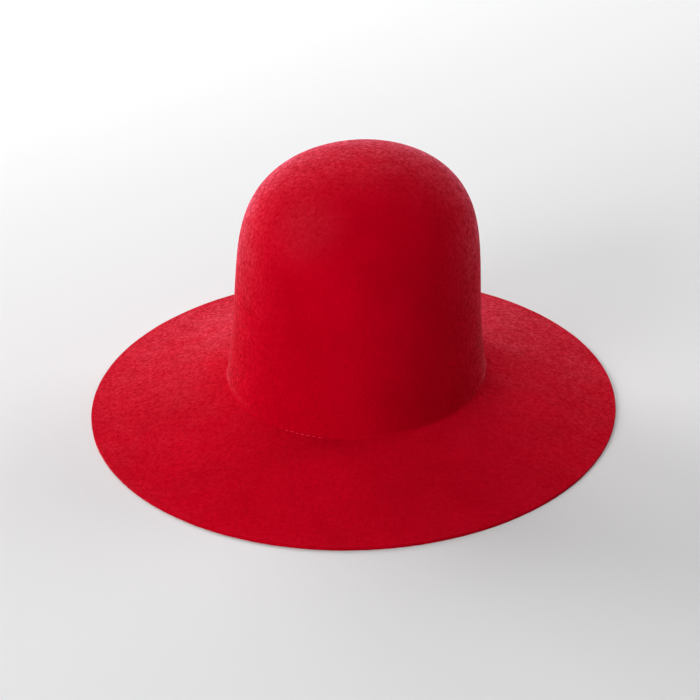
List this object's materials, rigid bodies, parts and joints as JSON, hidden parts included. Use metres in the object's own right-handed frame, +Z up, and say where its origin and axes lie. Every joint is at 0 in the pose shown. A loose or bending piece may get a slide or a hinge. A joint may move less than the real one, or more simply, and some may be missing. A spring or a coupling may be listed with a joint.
{
  "type": "wide-brim felt hat",
  "caption": "Wide-brim hat of blocked wool felt, with a tall open domed crown, a gently sloping raw-edge brim and a ribbon sweatband inside the crown.",
  "frame": {"origin": "on the surface that the hat rests on, under the middle of the brim", "axes": "+Z up through the crown; the front of the hat towards -Y; +X to the hat's left as it is worn"},
  "size_m": [0.354, 0.394, 0.1784],
  "materials": {
    "wool_felt": "bright red wool felt, short nap",
    "grosgrain_ribbon": "deep red ribbed ribbon"
  },
  "bodies": {
    "root": {"felt_body": "wool_felt", "sweatband": "grosgrain_ribbon"}
  },
  "joints": []
}
